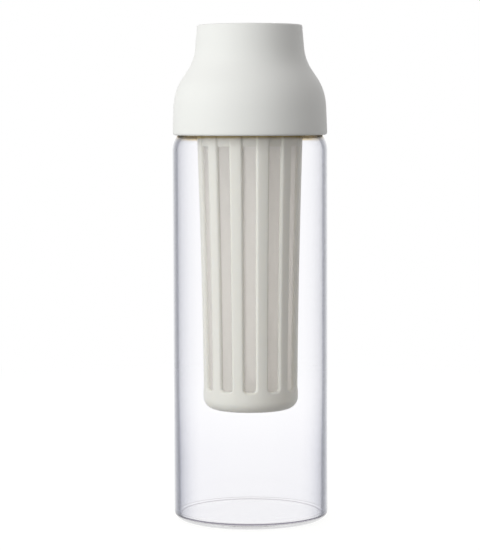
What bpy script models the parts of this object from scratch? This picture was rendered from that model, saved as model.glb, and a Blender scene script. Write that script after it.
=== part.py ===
# Cold brew carafe: a straight glass jug, a push-on cap shaped like a bottle top,
# and a ribbed strainer that hangs by its flange from the jug's rim.
# Metres, +Z up. The jug stands on z = 0 and every piece is turned about the Z axis.
import math

import bmesh
import bpy

COLLECTION_NAME = "cold_brew_carafe"
CUTTER_COLLECTION_NAME = "cutters"

# Shared construction values
SEAT_GAP = 0.0003
CUT_OVERRUN = 0.0020
ROUND_STEPS = 48
ARC_STEPS = 4
CAP_CURVE_STEPS = 9
MERGE_DISTANCE = 0.00001
SHARP_ANGLE = math.radians(35)
QUARTER = math.radians(90)

# Jug: borosilicate glass, blown straight, with a narrower neck under the cap
JUG_RADIUS = 0.0453
GLASS_WALL = 0.0020
BASE_THICKNESS = 0.0026
BASE_CORNER = 0.0045
FLOOR_CORNER = 0.0030
SHOULDER_START = 0.2162
SHOULDER_CORNER = 0.0150
SHOULDER_SWEEP = math.radians(60)
NECK_CORNER = 0.0053
NECK_LENGTH = 0.0105
SHOULDER_AND_NECK = SHOULDER_CORNER + NECK_CORNER
NECK_RADIUS = JUG_RADIUS - SHOULDER_AND_NECK * (1 - math.cos(SHOULDER_SWEEP))
NECK_START = SHOULDER_START + SHOULDER_AND_NECK * math.sin(SHOULDER_SWEEP)
NECK_BORE = NECK_RADIUS - GLASS_WALL
RIM_TOP = NECK_START + NECK_LENGTH

# Cap: hollow outer shell, almost flush with the jug, its lower edge just off the shoulder
CAP_HEIGHT = 0.0640
CAP_SETBACK = 0.00015
CAP_EDGE_CLEARANCE = 0.00065
CAP_WALL = 0.0023
CAP_TOP_RADIUS = 0.0307
CAP_TOP_CORNER = 0.0012
CAP_NECK_SPREAD = 0.0009
CAP_NECK_LENGTH = 0.0120
CAP_SKIRT_LENGTH = 0.01525
CAP_SKIRT_SPREAD = 0.0005
CAP_LIP_CORNER = 0.0008
NECK_PULL_SHARE = 0.474
NECK_SLOPE_SHARE = 0.07
SKIRT_PULL_SHARE = 0.553
SKIRT_SLOPE_SHARE = 0.039
SNAP_BEAD_DEPTH = 0.0006
SNAP_BEAD_HEIGHT = 0.0010
CAP_SKIRT_RADIUS = JUG_RADIUS - CAP_SETBACK
CAP_EDGE_REACH = CAP_SKIRT_RADIUS - CAP_WALL - CAP_EDGE_CLEARANCE
CAP_EDGE_ANGLE = math.acos(1 - (JUG_RADIUS - CAP_EDGE_REACH) / SHOULDER_CORNER)
CAP_BOTTOM = SHOULDER_START + SHOULDER_CORNER * math.sin(CAP_EDGE_ANGLE)
CAP_TOP = CAP_BOTTOM + CAP_HEIGHT

# Lid gasket: silicone, U section, slipped over the lower end of the lid's ring. Its sole
# slopes down outwards, close over the jug's shoulder
GASKET_INNER_LEG = 0.0009
GASKET_OUTER_LEG = 0.0010
GASKET_DROP = 0.0032
GASKET_HEIGHT = 0.0088
GASKET_SOLE = 0.0032
GASKET_SLOPE_DROP = 0.0022
GASKET_LIP_HEIGHT = 0.0012
GASKET_LIP_PITCH = 0.0026
GASKET_LIP_COUNT = 2
GASKET_CHAMFER = 0.0020
GASKET_BOTTOM = NECK_START - GASKET_DROP
GASKET_TOP = GASKET_BOTTOM + GASKET_HEIGHT

# Inner lid: disc over the mouth with a ring round the neck, pressed up into the shell
LID_DISC_THICKNESS = 0.0018
LID_FLANGE_HEIGHT = 0.0030
LID_RING_WALL = 0.0020
LID_RING_CLEARANCE = 0.0019
LID_RING_BOTTOM = GASKET_BOTTOM + GASKET_SOLE

# Strainer frame: one polypropylene moulding with twelve ribs, hung from the rim
FLANGE_THICKNESS = 0.0020
FLANGE_SETBACK = 0.0002
COLLAR_CLEARANCE = 0.0007
COLLAR_WALL = 0.0018
COLLAR_LENGTH = 0.0150
COLLAR_STEP_RISE = 0.0018
COLLAR_STEP_DEPTH = 0.0012
STRAINER_LENGTH = 0.1799
STRAINER_TAPER = 0.0034
STRAINER_FLARE_POWER = 1.5
STRAINER_LEVELS = 6
STRAINER_WALL = 0.0020
STRAINER_FLOOR = 0.0022
STRAINER_FOOT_CORNER = 0.0070
STRAINER_TURN = math.radians(-1.0)
FLANGE_BOTTOM = RIM_TOP + SEAT_GAP
FLANGE_TOP = FLANGE_BOTTOM + FLANGE_THICKNESS
FLANGE_RADIUS = NECK_RADIUS - FLANGE_SETBACK
COLLAR_RADIUS = NECK_BORE - COLLAR_CLEARANCE
COLLAR_STEP = RIM_TOP - COLLAR_LENGTH
STRAINER_BOTTOM = FLANGE_BOTTOM - STRAINER_LENGTH
STRAINER_SHOULDER_RADIUS = COLLAR_RADIUS - COLLAR_STEP_DEPTH
STRAINER_FOOT_RADIUS = STRAINER_SHOULDER_RADIUS - STRAINER_TAPER

# Windows between the ribs, the flare that rounds off the ribs' outer edges, and the
# recess with a closed panel above each window
WINDOW_COUNT = 12
WINDOW_FOOT = 0.0125
WINDOW_HEAD = 0.0102
PANEL_THICKNESS = 0.0008
RECESS_HEAD = 0.0025
WINDOW_THROAT_HALF = math.radians(7.3)
WINDOW_MOUTH_HALF = math.radians(10.0)
WINDOW_CORNER = 0.0020
WINDOW_CORNER_STEPS = 2
WINDOW_BOTTOM = STRAINER_BOTTOM + WINDOW_FOOT
WINDOW_TOP = COLLAR_STEP - WINDOW_HEAD
RECESS_TOP = COLLAR_STEP - RECESS_HEAD

# Strainer mesh: polyester sleeve on the inner face of the ribs
MESH_THICKNESS = 0.0004
MESH_GAP = 0.0002
MESH_OVERLAP = 0.0030

# Grip ring: silicone ring that holds the strainer in the neck
GRIP_GROOVE_HEIGHT = 0.0026
GRIP_GROOVE_DEPTH = 0.0010
GRIP_GROOVE_DROP = 0.0074
GRIP_PROUD = 0.0004
GRIP_GROOVE_BOTTOM = RIM_TOP - GRIP_GROOVE_DROP


def clear_scene():
    for obj in list(bpy.data.objects):
        bpy.data.objects.remove(obj, do_unlink=True)


def new_collection(name):
    collection = bpy.data.collections.new(name)
    bpy.context.scene.collection.children.link(collection)
    return collection


def new_material(name, colour, roughness, transmission=0.0):
    material = bpy.data.materials.new(name)
    material.use_nodes = True
    shader = material.node_tree.nodes["Principled BSDF"]
    shader.inputs["Base Color"].default_value = (*colour, 1.0)
    shader.inputs["Roughness"].default_value = roughness
    shader.inputs["Metallic"].default_value = 0.0
    shader.inputs["Transmission Weight"].default_value = transmission
    material.diffuse_color = (*colour, 1.0)
    return material


def arc(centre, radius, start, sweep, steps=ARC_STEPS):
    """Points (x, z) on an arc, both ends included. Angles run anticlockwise from +X."""
    x, z = centre
    angles = [start + sweep * step / steps for step in range(steps + 1)]
    return [(x + radius * math.cos(a), z + radius * math.sin(a)) for a in angles]


def bezier(start, start_handle, end_handle, end, steps):
    """Points on a cubic curve, both ends included."""
    points = []
    for step in range(steps + 1):
        t = step / steps
        shares = ((1 - t) ** 3, 3 * t * (1 - t) ** 2, 3 * t * t * (1 - t), t ** 3)
        corners = (start, start_handle, end_handle, end)
        points.append(tuple(sum(s * c[axis] for s, c in zip(shares, corners)) for axis in (0, 1)))
    return points


def profile_object(name, points, closed, collection):
    """A profile in the XZ plane, turned about Z by a Screw modifier."""
    mesh = bpy.data.meshes.new(name)
    verts = [(x, 0, z) for x, z in points]
    edges = [(i, i + 1) for i in range(len(verts) - 1)]
    if closed:
        edges.append((len(verts) - 1, 0))
    mesh.from_pydata(verts, edges, [])
    obj = bpy.data.objects.new(name, mesh)
    collection.objects.link(obj)
    screw = obj.modifiers.new("turn", "SCREW")
    screw.steps = ROUND_STEPS
    screw.render_steps = ROUND_STEPS
    screw.use_merge_vertices = True
    screw.merge_threshold = MERGE_DISTANCE
    screw.use_smooth_shade = True
    return obj


def finish(obj, material):
    """Turns the modifiers into mesh, then sets the shading and the material."""
    depsgraph = bpy.context.evaluated_depsgraph_get()
    mesh = bpy.data.meshes.new_from_object(obj.evaluated_get(depsgraph))
    mesh.name = obj.name
    obj.modifiers.clear()
    obj.data = mesh
    mesh.shade_smooth()
    mesh.set_sharp_from_angle(angle=SHARP_ANGLE)
    mesh.materials.clear()
    mesh.materials.append(material)
    return obj


def strainer_radius(z):
    """Outer radius of the strainer at a height: nearly straight at the foot, flaring to the neck."""
    low = STRAINER_BOTTOM + STRAINER_FOOT_CORNER
    share = (z - low) / (COLLAR_STEP - low)
    share = min(max(share, 0.0), 1.0)
    return STRAINER_FOOT_RADIUS + STRAINER_TAPER * share ** STRAINER_FLARE_POWER


def levels(low, high, count):
    return [low + (high - low) * step / count for step in range(count + 1)]


def make_jug(collection, material):
    inner = JUG_RADIUS - GLASS_WALL
    rim_radius = GLASS_WALL / 2
    shoulder = (JUG_RADIUS - SHOULDER_CORNER, SHOULDER_START)
    neck = (NECK_RADIUS + NECK_CORNER, NECK_START)
    inside = [(0, BASE_THICKNESS)]
    inside += arc((inner - FLOOR_CORNER, BASE_THICKNESS + FLOOR_CORNER), FLOOR_CORNER, -QUARTER, QUARTER)
    inside += arc(shoulder, SHOULDER_CORNER - GLASS_WALL, 0, SHOULDER_SWEEP)
    inside += arc(neck, NECK_CORNER + GLASS_WALL, SHOULDER_SWEEP - 2 * QUARTER, -SHOULDER_SWEEP)
    rim = arc((NECK_BORE + rim_radius, RIM_TOP - rim_radius), rim_radius, 2 * QUARTER, -2 * QUARTER)
    outside = arc(neck, NECK_CORNER, 2 * QUARTER, SHOULDER_SWEEP)
    outside += arc(shoulder, SHOULDER_CORNER, SHOULDER_SWEEP, -SHOULDER_SWEEP)
    outside += arc((JUG_RADIUS - BASE_CORNER, BASE_CORNER), BASE_CORNER, 0, -QUARTER)
    outside += [(0, 0)]
    profile = without_doubles(inside + rim + outside)
    return finish(profile_object("glass_jug", profile, False, collection), material)


def without_doubles(points):
    """Drops a point that repeats the one before it, where two arcs join."""
    kept = points[:1]
    for point in points[1:]:
        if math.dist(point, kept[-1]) > MERGE_DISTANCE:
            kept.append(point)
    return kept


def cap_outline(inset=0.0):
    """The cap's side from the end of its neck to the start of its skirt, moved in by an inset."""
    start = (CAP_TOP_RADIUS + CAP_NECK_SPREAD, CAP_TOP - CAP_NECK_LENGTH)
    end = (CAP_SKIRT_RADIUS - CAP_SKIRT_SPREAD, CAP_BOTTOM + CAP_SKIRT_LENGTH)
    neck_pull = NECK_PULL_SHARE * (start[1] - end[1])
    skirt_pull = SKIRT_PULL_SHARE * (start[1] - end[1])
    start_handle = (start[0] + NECK_SLOPE_SHARE * neck_pull, start[1] - neck_pull)
    end_handle = (end[0] - SKIRT_SLOPE_SHARE * skirt_pull, end[1] + skirt_pull)
    points = bezier(start, start_handle, end_handle, end, CAP_CURVE_STEPS)
    if not inset:
        return points
    moved = []
    for index, (x, z) in enumerate(points):
        before = points[max(index - 1, 0)]
        after = points[min(index + 1, len(points) - 1)]
        along_x, along_z = after[0] - before[0], after[1] - before[1]
        length = math.hypot(along_x, along_z)
        moved.append((x + inset * along_z / length, z - inset * along_x / length))
    return moved


def cap_inner_radius(z):
    """Inner radius of the cap shell at a height on its curved side or its skirt."""
    inner = cap_outline(CAP_WALL) + [(CAP_SKIRT_RADIUS - CAP_WALL, CAP_BOTTOM)]
    for (upper_x, upper_z), (lower_x, lower_z) in zip(inner, inner[1:]):
        if lower_z <= z <= upper_z:
            share = (upper_z - z) / (upper_z - lower_z)
            return upper_x + (lower_x - upper_x) * share
    return inner[0][0]


def lid_levels():
    """Bottom of the lid's disc, and top of its flange."""
    disc_bottom = FLANGE_TOP + SEAT_GAP
    return disc_bottom, disc_bottom + LID_FLANGE_HEIGHT


def make_cap_shell(collection, material):
    disc_bottom, _ = lid_levels()
    top_corner = (CAP_TOP_RADIUS - CAP_TOP_CORNER, CAP_TOP - CAP_TOP_CORNER)
    outside = [(0, CAP_TOP)] + arc(top_corner, CAP_TOP_CORNER, QUARTER, -QUARTER)
    outside += cap_outline()
    lip_x = CAP_SKIRT_RADIUS - CAP_LIP_CORNER
    outside += arc((lip_x, CAP_BOTTOM + CAP_LIP_CORNER), CAP_LIP_CORNER, 0, -QUARTER, 2)
    bead_top = disc_bottom - SEAT_GAP
    bead_bottom = bead_top - 2 * SNAP_BEAD_HEIGHT
    bead_middle = (bead_top + bead_bottom) / 2
    inside = [
        (CAP_SKIRT_RADIUS - CAP_WALL, CAP_BOTTOM),
        (cap_inner_radius(bead_bottom), bead_bottom),
        (cap_inner_radius(bead_middle) - SNAP_BEAD_DEPTH, bead_middle),
        (cap_inner_radius(bead_top), bead_top),
    ]
    inside += [point for point in reversed(cap_outline(CAP_WALL)) if point[1] > bead_top + MERGE_DISTANCE]
    inside += [(CAP_TOP_RADIUS - CAP_WALL, CAP_TOP - CAP_WALL), (0, CAP_TOP - CAP_WALL)]
    profile = without_doubles(outside + inside)
    return finish(profile_object("cap_shell", profile, False, collection), material)


def lid_ring_radii():
    inner = NECK_RADIUS + LID_RING_CLEARANCE
    return inner, inner + LID_RING_WALL


def make_inner_lid(collection, material):
    disc_bottom, flange_top = lid_levels()
    ring_inner, ring_outer = lid_ring_radii()
    flange_bottom_radius = cap_inner_radius(disc_bottom) - SEAT_GAP
    flange_top_radius = cap_inner_radius(flange_top) - SEAT_GAP
    dish_radius = ring_inner
    profile = [
        (0, disc_bottom + LID_DISC_THICKNESS),
        (dish_radius, disc_bottom + LID_DISC_THICKNESS),
        (ring_outer, flange_top),
        (flange_top_radius, flange_top),
        (flange_bottom_radius, disc_bottom),
        (ring_outer, disc_bottom),
        (ring_outer, LID_RING_BOTTOM),
        (ring_inner, LID_RING_BOTTOM),
        (ring_inner, disc_bottom),
        (0, disc_bottom),
    ]
    return finish(profile_object("inner_lid", profile, False, collection), material)


def make_lid_gasket(collection, material):
    ring_inner, ring_outer = lid_ring_radii()
    lip_tip = NECK_RADIUS + SEAT_GAP
    slot_inner = ring_inner - SEAT_GAP
    slot_outer = ring_outer + SEAT_GAP
    slot_bottom = LID_RING_BOTTOM - SEAT_GAP
    leg_face = slot_inner - GASKET_INNER_LEG
    profile = [
        (slot_outer, GASKET_TOP),
        (slot_outer + GASKET_OUTER_LEG, GASKET_TOP),
        (slot_outer + GASKET_OUTER_LEG, GASKET_BOTTOM - GASKET_SLOPE_DROP),
        (slot_outer, GASKET_BOTTOM - GASKET_SLOPE_DROP),
        (leg_face + GASKET_CHAMFER, GASKET_BOTTOM),
        (leg_face, GASKET_BOTTOM + GASKET_CHAMFER),
    ]
    for lip in range(GASKET_LIP_COUNT):
        lip_bottom = GASKET_BOTTOM + GASKET_CHAMFER + GASKET_LIP_HEIGHT + lip * GASKET_LIP_PITCH
        profile += [
            (leg_face, lip_bottom),
            (lip_tip, lip_bottom + GASKET_LIP_HEIGHT / 2),
            (leg_face, lip_bottom + GASKET_LIP_HEIGHT),
        ]
    profile += [
        (leg_face, GASKET_TOP),
        (slot_inner, GASKET_TOP),
        (slot_inner, slot_bottom),
        (slot_outer, slot_bottom),
    ]
    return finish(profile_object("lid_gasket", profile, True, collection), material)


def strainer_heights():
    """Levels of the ribs, at which the profile and the window cutters share their points."""
    return levels(WINDOW_BOTTOM, WINDOW_TOP, STRAINER_LEVELS)


def make_strainer_frame(collection, cutters, material):
    floor_top = STRAINER_BOTTOM + STRAINER_FLOOR
    inner_corner = STRAINER_FOOT_CORNER - STRAINER_WALL
    foot_x = STRAINER_FOOT_RADIUS - STRAINER_FOOT_CORNER
    foot_z = STRAINER_BOTTOM + STRAINER_FOOT_CORNER
    bore = COLLAR_RADIUS - COLLAR_WALL
    step_top = COLLAR_STEP + COLLAR_STEP_RISE
    inside = [(0, floor_top)]
    inside += arc((foot_x, floor_top + inner_corner), inner_corner, -QUARTER, QUARTER, 2)
    inside += [(strainer_radius(z) - STRAINER_WALL, z) for z in strainer_heights()]
    inside += [(strainer_radius(COLLAR_STEP) - STRAINER_WALL, COLLAR_STEP), (bore, step_top)]
    inside += [(bore, FLANGE_TOP)]
    groove_floor = COLLAR_RADIUS - GRIP_GROOVE_DEPTH
    groove_top = GRIP_GROOVE_BOTTOM + GRIP_GROOVE_HEIGHT
    outside = [
        (FLANGE_RADIUS, FLANGE_TOP),
        (FLANGE_RADIUS, FLANGE_BOTTOM),
        (COLLAR_RADIUS, FLANGE_BOTTOM),
        (COLLAR_RADIUS, groove_top),
        (groove_floor, groove_top),
        (groove_floor, GRIP_GROOVE_BOTTOM),
        (COLLAR_RADIUS, GRIP_GROOVE_BOTTOM),
        (COLLAR_RADIUS, step_top),
        (strainer_radius(COLLAR_STEP), COLLAR_STEP),
    ]
    outside += [(strainer_radius(z), z) for z in reversed(strainer_heights())]
    outside += arc((foot_x, foot_z), STRAINER_FOOT_CORNER, 0, -QUARTER)
    outside += [(0, STRAINER_BOTTOM)]
    frame = profile_object("strainer_frame", without_doubles(inside + outside), False, collection)
    cutter = window_cutter(cutters)
    cut = frame.modifiers.new("windows", "BOOLEAN")
    cut.operation = "DIFFERENCE"
    cut.solver = "EXACT"
    cut.object = cutter
    frame.rotation_euler.z = STRAINER_TURN
    return finish(frame, material)


def slot_half(depth):
    """Half angle of a slot at a depth, which counts outwards from the ribs' outer faces."""
    flare = (WINDOW_MOUTH_HALF - WINDOW_THROAT_HALF) / STRAINER_WALL
    return WINDOW_THROAT_HALF + flare * max(depth + STRAINER_WALL, 0.0)


def window_levels():
    """Levels of a window from its rounded foot up, as (height, arc lost on each side)."""
    lower = []
    for step in range(WINDOW_CORNER_STEPS + 1):
        angle = QUARTER * step / WINDOW_CORNER_STEPS
        rise = WINDOW_CORNER * (1 - math.cos(angle))
        lower.append((WINDOW_BOTTOM + rise, WINDOW_CORNER * (1 - math.sin(angle))))
    return lower + [(z, 0.0) for z in strainer_heights()[1:]]


def slot_section(bm, centre, z, depths, lost=0.0):
    """Corners of a slot's level section: up the right side by depth, then back down the left."""
    radius = strainer_radius(z)
    sides = [(slot_half(depth) - lost / radius, radius + depth) for depth in depths]
    sides += [(-half, reach) for half, reach in reversed(sides)]
    places = [(centre + half, reach) for half, reach in sides]
    return [bm.verts.new((reach * math.cos(a), reach * math.sin(a), z)) for a, reach in places]


def join_sections(bm, lower, upper):
    for i in range(len(lower)):
        j = (i + 1) % len(lower)
        bm.faces.new((lower[i], lower[j], upper[j], upper[i]))


def window_cutter(collection):
    """Twelve slots in one mesh. Each goes right through at the window and flares outwards,
    which rounds off the ribs' outer edges. Above the window it only cuts a recess."""
    mesh = bpy.data.meshes.new("window_cutter")
    bm = bmesh.new()
    through = (-STRAINER_WALL - CUT_OVERRUN, -STRAINER_WALL, PANEL_THICKNESS - STRAINER_WALL, CUT_OVERRUN)
    recess = through[2:]
    for number in range(WINDOW_COUNT):
        centre = -QUARTER + number * 4 * QUARTER / WINDOW_COUNT
        sections = [slot_section(bm, centre, z, through, lost) for z, lost in window_levels()]
        for lower, upper in zip(sections, sections[1:]):
            join_sections(bm, lower, upper)
        bm.faces.new(sections[0])
        sill = sections[-1]
        bm.faces.new(sill[:3] + sill[-3:])
        top = slot_section(bm, centre, RECESS_TOP, recess)
        join_sections(bm, sill[2:-2], top)
        bm.faces.new(top)
    bmesh.ops.recalc_face_normals(bm, faces=bm.faces)
    bm.to_mesh(mesh)
    bm.free()
    cutter = bpy.data.objects.new("window_cutter", mesh)
    cutter.hide_render = True
    cutter.display_type = "WIRE"
    collection.objects.link(cutter)
    return cutter


def make_strainer_mesh(collection, material):
    low = WINDOW_BOTTOM - MESH_OVERLAP
    high = WINDOW_TOP + MESH_OVERLAP
    heights = [low] + strainer_heights() + [high]
    reach = STRAINER_WALL + MESH_GAP
    outside = [(strainer_radius(z) - reach, z) for z in reversed(heights)]
    inside = [(strainer_radius(z) - reach - MESH_THICKNESS, z) for z in heights]
    sleeve = profile_object("strainer_mesh", outside + inside, True, collection)
    sleeve.rotation_euler.z = STRAINER_TURN
    return finish(sleeve, material)


def make_grip_ring(collection, material):
    inner = COLLAR_RADIUS - GRIP_GROOVE_DEPTH + SEAT_GAP
    outer = COLLAR_RADIUS + GRIP_PROUD
    low = GRIP_GROOVE_BOTTOM + SEAT_GAP
    high = GRIP_GROOVE_BOTTOM + GRIP_GROOVE_HEIGHT - SEAT_GAP
    chamfer = (outer - inner) / 2
    profile = [
        (inner, high),
        (outer - chamfer, high),
        (outer, high - chamfer),
        (outer, low + chamfer),
        (outer - chamfer, low),
        (inner, low),
    ]
    return finish(profile_object("strainer_grip_ring", profile, True, collection), material)


def build_carafe():
    clear_scene()
    parts = new_collection(COLLECTION_NAME)
    cutters = new_collection(CUTTER_COLLECTION_NAME)
    glass = new_material("clear_glass", (0.96, 0.97, 0.98), 0.02, transmission=1.0)
    cap_white = new_material("cap_white", (0.80, 0.80, 0.78), 0.45)
    strainer_white = new_material("strainer_white", (0.78, 0.78, 0.74), 0.40)
    polyester = new_material("polyester_mesh", (0.72, 0.70, 0.66), 0.80)
    silicone = new_material("silicone", (0.62, 0.52, 0.36), 0.50)
    make_jug(parts, glass)
    make_cap_shell(parts, cap_white)
    make_inner_lid(parts, cap_white)
    make_lid_gasket(parts, silicone)
    make_strainer_frame(parts, cutters, strainer_white)
    make_strainer_mesh(parts, polyester)
    make_grip_ring(parts, silicone)


build_carafe()
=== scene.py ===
import math

import bmesh
import bpy
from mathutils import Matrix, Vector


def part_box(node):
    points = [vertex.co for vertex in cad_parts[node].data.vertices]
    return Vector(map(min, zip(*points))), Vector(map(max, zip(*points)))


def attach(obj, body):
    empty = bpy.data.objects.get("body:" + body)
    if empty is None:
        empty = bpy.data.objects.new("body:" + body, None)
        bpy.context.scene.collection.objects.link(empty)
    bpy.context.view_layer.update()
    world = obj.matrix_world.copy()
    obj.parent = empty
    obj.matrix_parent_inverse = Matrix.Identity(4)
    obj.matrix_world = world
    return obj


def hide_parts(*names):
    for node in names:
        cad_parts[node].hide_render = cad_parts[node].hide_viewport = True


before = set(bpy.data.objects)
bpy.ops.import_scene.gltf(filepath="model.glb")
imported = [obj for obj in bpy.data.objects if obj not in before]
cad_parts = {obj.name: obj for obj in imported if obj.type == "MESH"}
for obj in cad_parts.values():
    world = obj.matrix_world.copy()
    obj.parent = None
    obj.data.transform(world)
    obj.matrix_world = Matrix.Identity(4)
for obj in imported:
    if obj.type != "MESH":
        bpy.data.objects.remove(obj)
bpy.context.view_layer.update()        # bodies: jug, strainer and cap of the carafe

print("frame loaded:", ", ".join(sorted(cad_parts)))

roundSegments = 240        # sides of a turned piece
weldDistance = 0.000001
fitGap = 0.0003            # between pieces that touch on the real carafe
quarterTurn = math.pi / 2
fullTurn = 2 * math.pi


# Node helpers: an input takes a number, a colour or the output of another node

def setInputs(tree, node, values):
    for label, value in values.items():
        socket = node.inputs[label]
        if isinstance(value, bpy.types.NodeSocket):
            tree.links.new(value, socket)
        elif socket.type == "RGBA":
            socket.default_value = (*value, 1.0)
        else:
            socket.default_value = value


def addNode(tree, kind, values):
    node = tree.nodes.new(kind)
    setInputs(tree, node, values)
    return node


def addMath(tree, operation, *values):
    node = tree.nodes.new("ShaderNodeMath")
    node.operation = operation
    setInputs(tree, node, dict(enumerate(values)))
    return node.outputs[0]


def addProduct(tree, first, *others):
    for other in others:
        first = addMath(tree, "MULTIPLY", first, other)
    return first


def addRest(tree, share):
    # what a share leaves of 1
    return addMath(tree, "SUBTRACT", 1.0, share)


def addMean(tree, first, second, share):
    # a mean in which the second value has the given share
    return addMath(tree, "ADD", addProduct(tree, first, 1.0 - share), addProduct(tree, second, share))


def addFade(tree, value, low, high):
    # 0 below low, 1 above high
    ramp = tree.nodes.new("ShaderNodeMapRange")
    ramp.interpolation_type = "SMOOTHSTEP"
    setInputs(tree, ramp, {"Value": value, "From Min": low, "From Max": high})
    return ramp.outputs["Result"]


def addBlend(tree, factor, first, second, kind="MIX"):
    mix = tree.nodes.new("ShaderNodeMix")
    mix.data_type = "RGBA"
    mix.blend_type = kind
    setInputs(tree, mix, {"Factor": factor, "A": first, "B": second})
    return mix.outputs["Result"]


def addNoise(tree, place, scale, detail):
    noise = addNode(tree, "ShaderNodeTexNoise", {"Vector": place, "Scale": scale, "Detail": detail})
    return noise.outputs["Fac"]


def addShader(tree, kind, values):
    return addNode(tree, kind, values).outputs[0]


def mixShaders(tree, factor, first, second):
    return addShader(tree, "ShaderNodeMixShader", {0: factor, 1: first, 2: second})


def objectPlace(tree):
    # in the piece's own space, whose origin is on the carafe's axis
    return tree.nodes.new("ShaderNodeTexCoord").outputs["Object"]


def splitPlace(tree, place):
    # outputs X, Y and Z
    return addNode(tree, "ShaderNodeSeparateXYZ", {0: place}).outputs


def newMaterial(name):
    material = bpy.data.materials.new(name)
    material.use_nodes = True
    return material, material.node_tree


# Studio: camera, backdrop, floor and two broad lamps

cameraView = {
    "place": (-0.00575, -1.258, 0.241),
    "downTilt": math.radians(4.442),
    "roll": math.radians(0.20),
    "lens": 140.6,
    "sensor": 36.0,
    "clipStart": 0.05,
    "clipEnd": 50.0,
}

studio = {
    "ambient": (0.510, 0.502, 0.493),
    "backdrop": (1.0, 1.0, 1.0),
    "lamps": [                             # an azimuth of 0 is the camera's side, and it grows to the right
        {"name": "softbox", "azimuth": math.radians(-50), "height": 0.32, "width": 1.0, "power": 21.2},
        {"name": "backLight", "azimuth": math.radians(180), "height": 0.30, "width": 0.70, "power": 24.0},
    ],
    "lampDistance": 1.5,
    "lampAim": 0.17,
    "lampTall": 1.3,
    "lampColour": (0.985, 1.0, 0.975),
    "floorDrop": 0.0003,                   # keeps the floor just clear of the glass
    "floorRadius": 6.0,
    "floorSides": 96,
    "floorColour": (0.33, 0.33, 0.33),
    "floorGlow": 0.755,
    "fadeReach": (0.16, 0.75),             # distances between which the floor turns plain white
}


def addCamera(view):
    data = bpy.data.cameras.new("photoCamera")
    data.lens = view["lens"]
    data.sensor_width = view["sensor"]
    data.clip_start = view["clipStart"]
    data.clip_end = view["clipEnd"]
    camera = bpy.data.objects.new("photoCamera", data)
    camera.location = view["place"]
    camera.rotation_euler = (quarterTurn - view["downTilt"], view["roll"], 0.0)
    bpy.context.scene.collection.objects.link(camera)
    bpy.context.scene.camera = camera


def addLamp(values, choice):
    data = bpy.data.lights.new(choice["name"], "AREA")
    data.shape = "RECTANGLE"
    data.size = choice["width"]
    data.size_y = values["lampTall"]
    data.energy = choice["power"]
    data.color = values["lampColour"]
    lamp = bpy.data.objects.new(choice["name"], data)
    distance, azimuth = values["lampDistance"], choice["azimuth"]
    lamp.location = (distance * math.sin(azimuth), -distance * math.cos(azimuth), choice["height"])
    drop = math.atan2(choice["height"] - values["lampAim"], distance)
    lamp.rotation_euler = (quarterTurn - drop, 0.0, azimuth)
    lamp.visible_camera = False
    lamp.visible_glossy = False
    lamp.visible_transmission = False
    bpy.context.scene.collection.objects.link(lamp)


def seenDirectly(tree):
    # 1 for rays from the camera, off a gloss or through glass; 0 for rays that light the object
    rays = tree.nodes.new("ShaderNodeLightPath").outputs
    seen = addMath(tree, "MAXIMUM", rays["Is Camera Ray"], rays["Is Glossy Ray"])
    return addMath(tree, "MAXIMUM", seen, rays["Is Transmission Ray"])


def setWorld(values):
    world = bpy.data.worlds.new("whiteStudio")
    world.use_nodes = True
    bpy.context.scene.world = world
    tree = world.node_tree
    tree.nodes.clear()
    light = addShader(tree, "ShaderNodeBackground", {"Color": values["ambient"]})
    seen = addShader(tree, "ShaderNodeBackground", {"Color": values["backdrop"]})
    addNode(tree, "ShaderNodeOutputWorld", {"Surface": mixShaders(tree, seenDirectly(tree), light, seen)})


def floorMaterial(values):
    material, tree = newMaterial("paleTable")
    tree.nodes.clear()
    paint = addShader(tree, "ShaderNodeBsdfDiffuse", {"Color": values["floorColour"]})
    glow = addShader(tree, "ShaderNodeEmission", {
        "Color": values["backdrop"],
        "Strength": values["floorGlow"],
    })
    white = addShader(tree, "ShaderNodeEmission", {"Color": values["backdrop"]})
    near = addShader(tree, "ShaderNodeAddShader", {0: paint, 1: glow})
    place = tree.nodes.new("ShaderNodeNewGeometry").outputs["Position"]
    distance = addNode(tree, "ShaderNodeVectorMath", {0: place})
    distance.operation = "LENGTH"
    far = addFade(tree, distance.outputs["Value"], *values["fadeReach"])
    surface = mixShaders(tree, seenDirectly(tree), paint, mixShaders(tree, far, near, white))
    addNode(tree, "ShaderNodeOutputMaterial", {"Surface": surface})
    return material


def addFloor(values):
    bm = bmesh.new()
    bmesh.ops.create_circle(bm, cap_ends=True, radius=values["floorRadius"], segments=values["floorSides"])
    mesh = bpy.data.meshes.new("tableTop")
    bm.to_mesh(mesh)
    bm.free()
    floor = bpy.data.objects.new("tableTop", mesh)
    floor.location.z = -values["floorDrop"]
    mesh.materials.append(floorMaterial(values))
    bpy.context.scene.collection.objects.link(floor)


bpy.context.scene.view_settings.view_transform = "Standard"
addCamera(cameraView)
for lampChoice in studio["lamps"]:
    addLamp(studio, lampChoice)
setWorld(studio)
addFloor(studio)
print("studio ready")


# Mesh helpers: profiles are lists of (radius, height)

def arcPoints(centre, radius, start, sweep, steps):
    # start and sweep in degrees, anticlockwise from the outward direction
    points = []
    for step in range(steps + 1):
        angle = math.radians(start + sweep * step / steps)
        points.append((centre[0] + radius * math.cos(angle), centre[1] + radius * math.sin(angle)))
    return points


def evenSteps(low, high, count):
    return [low + (high - low) * step / count for step in range(count + 1)]


def bridgeLoops(bm, first, second, closed=True):
    # a ring of one vert, on the axis, is bridged with triangles
    count = max(len(first), len(second))
    for i in range(count if closed else count - 1):
        j = (i + 1) % count
        corners = [first[i % len(first)], first[j % len(first)]]
        corners += [second[j % len(second)], second[i % len(second)]]
        kept = [vert for n, vert in enumerate(corners) if vert not in corners[:n]]
        if len(kept) > 2:
            bm.faces.new(kept)


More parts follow.
